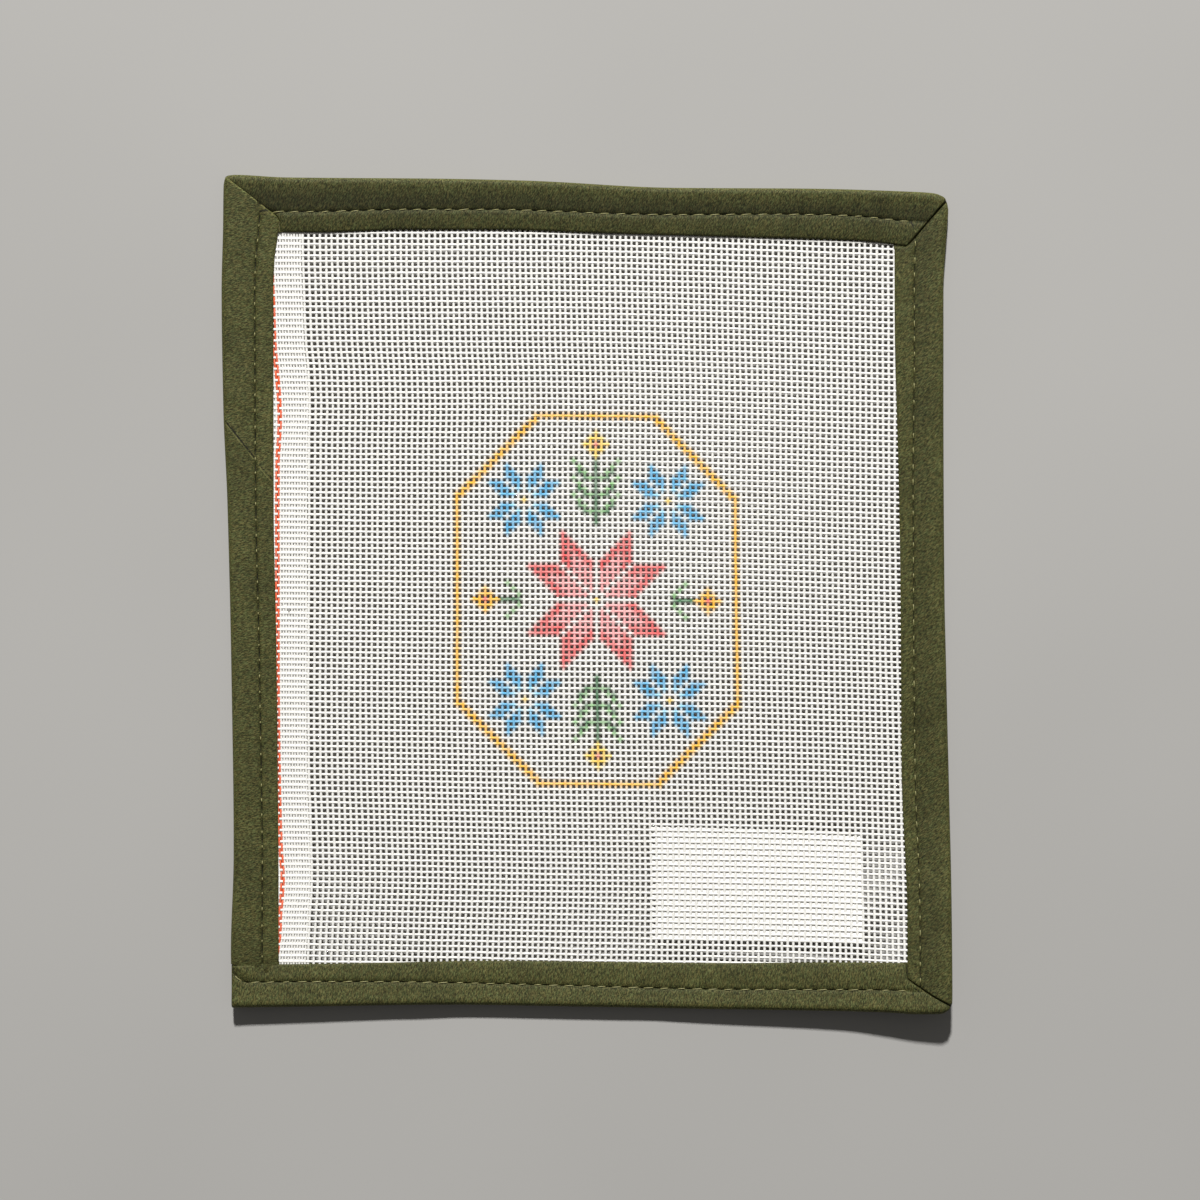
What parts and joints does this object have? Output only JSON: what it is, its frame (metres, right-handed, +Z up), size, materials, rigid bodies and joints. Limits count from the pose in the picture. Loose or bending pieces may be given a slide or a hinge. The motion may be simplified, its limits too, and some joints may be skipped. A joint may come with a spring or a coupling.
{
  "type": "needlepoint canvas panel",
  "caption": "Stiff open-mesh needlepoint canvas, ready to stitch, its raw edges wrapped in sewn olive bias tape; one corner curls up.",
  "frame": {"origin": "on the surface that the panel lies on, under the middle of its outline", "axes": "+Z up through the panel's face, +Y towards the panel's top edge, +X to the right as seen from above"},
  "size_m": [0.1824, 0.2098, 0.0077],
  "materials": {
    "canvas": "stiffened white cotton mesh, even plain weave, with a painted motif in its middle",
    "binding": "olive green cotton sateen tape, soft sheen along its folds"
  },
  "bodies": {
    "root": {"canvas": "canvas", "binding_left": "binding", "binding_top": "binding", "binding_right": "binding", "binding_bottom": "binding"}
  },
  "joints": []
}
